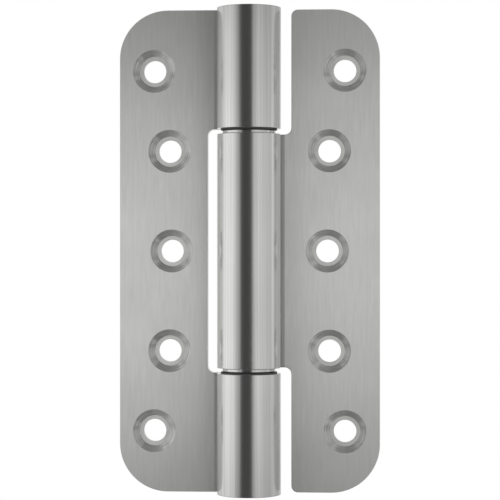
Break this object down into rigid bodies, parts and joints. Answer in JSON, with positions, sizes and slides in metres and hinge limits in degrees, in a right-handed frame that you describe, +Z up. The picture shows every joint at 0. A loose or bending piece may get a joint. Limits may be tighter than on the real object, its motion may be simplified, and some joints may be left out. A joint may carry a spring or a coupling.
{
  "type": "barrel door hinge",
  "caption": "Barrel door hinge with rolled, round-cornered steel leaves and countersunk screw holes, turning on a hidden pin in flanged plain bearings.",
  "frame": {"origin": "middle of the pin axis", "axes": "+Z up along the pin, +X from the pin towards the door leaf laid open flat, +Y towards the backs of the leaves"},
  "size_m": [0.086, 0.021, 0.16],
  "materials": {
    "leaf_steel": "satin stainless steel, brushed along the pin",
    "pin_steel": "ground steel",
    "ring_steel": "bright turned stainless steel",
    "bush_plastic": "black bearing plastic",
    "plug_steel": "turned stainless steel"
  },
  "bodies": {
    "frame_side": {"frame_leaf": "leaf_steel", "upper_bearing_bush": "bush_plastic", "lower_bearing_bush": "bush_plastic", "upper_end_plug": "plug_steel", "lower_end_plug": "plug_steel"},
    "door_side": {"door_leaf": "leaf_steel", "hinge_pin": "pin_steel", "upper_pin_sleeve": "pin_steel", "lower_pin_sleeve": "pin_steel", "upper_thrust_ring": "ring_steel", "lower_thrust_ring": "ring_steel"}
  },
  "joints": [
    {"name": "pin_hinge", "type": "hinge", "parent": "frame_side", "child": "door_side", "pos_m": [0, 0, 0], "axis": [0, 0, -1], "range_deg": [-130, 180]}
  ]
}
